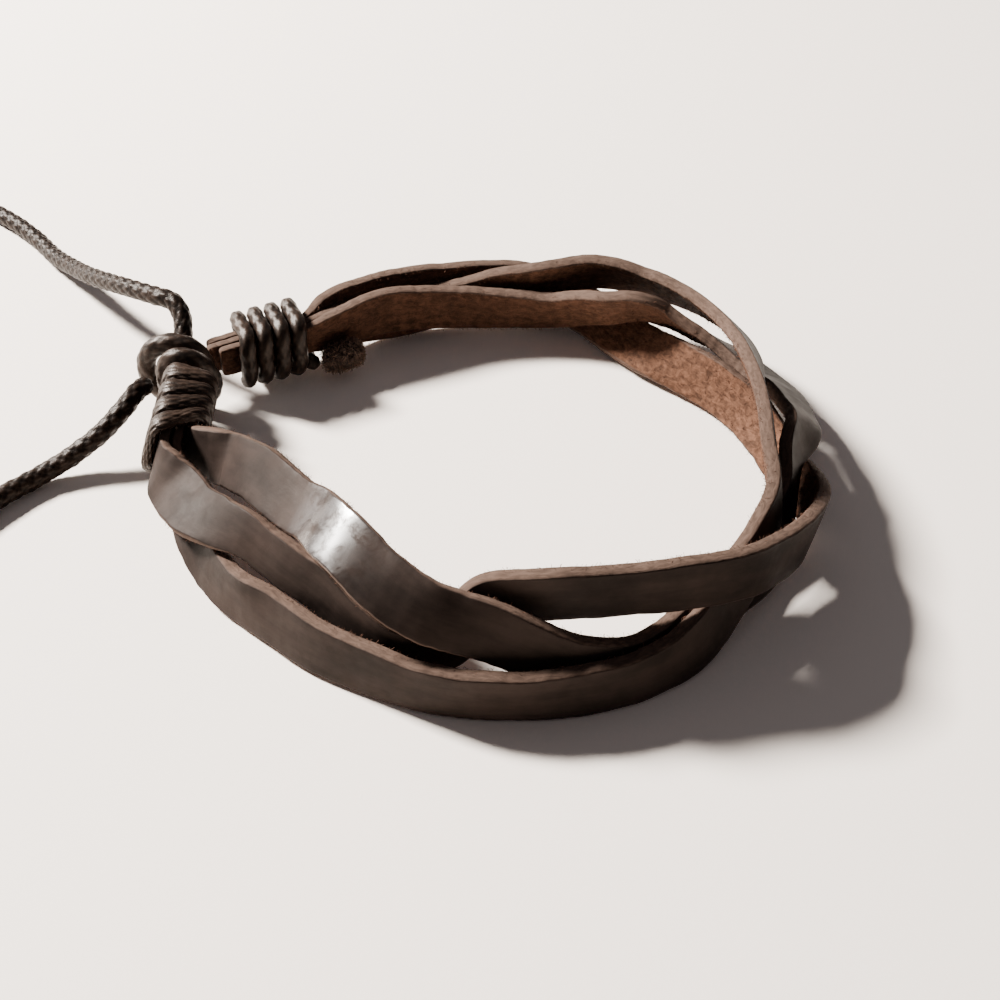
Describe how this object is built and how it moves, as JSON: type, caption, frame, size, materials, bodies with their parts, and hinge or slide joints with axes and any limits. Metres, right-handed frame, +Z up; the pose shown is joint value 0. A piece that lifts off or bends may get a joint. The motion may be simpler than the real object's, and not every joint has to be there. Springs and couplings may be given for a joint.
{
  "type": "leather bracelet",
  "caption": "Bracelet of three loosely twisted flat leather straps, bound side by side in two wraps of waxed cord, with a knotted cord closure and two loose tails.",
  "frame": {"origin": "under the middle of the bracelet without its free tails, on the floor it lies on", "axes": "+Z up from the floor, through the wrist opening; the closure is on the -X side and the front of the picture is on the -Y side"},
  "size_m": [0.1036, 0.0904, 0.0139],
  "materials": {
    "leather_outer": "dark brown smooth outer face with a low gloss, lighter raw cut edges, mottled brown suede inner face",
    "leather_inner": "dark brown smooth outer face with a low gloss, lighter raw cut edges, mottled brown suede inner face",
    "leather_lower": "dark brown smooth outer face with a low gloss, lighter raw cut edges, mottled brown suede inner face",
    "wrap_cord": "waxed woven cord, dark brown with pale specks",
    "tail_cord": "waxed woven cord, dark brown with pale specks",
    "frayed_cord": "frayed loose fibres, pale brown"
  },
  "bodies": {
    "root": {"outer_strap": "leather_outer", "inner_strap": "leather_inner", "lower_strap": "leather_lower", "front_wrap": "wrap_cord", "back_wrap": "wrap_cord", "closure_knot": "tail_cord", "upper_tail": "tail_cord", "lower_tail": "tail_cord", "cord_end": "frayed_cord"}
  },
  "joints": []
}
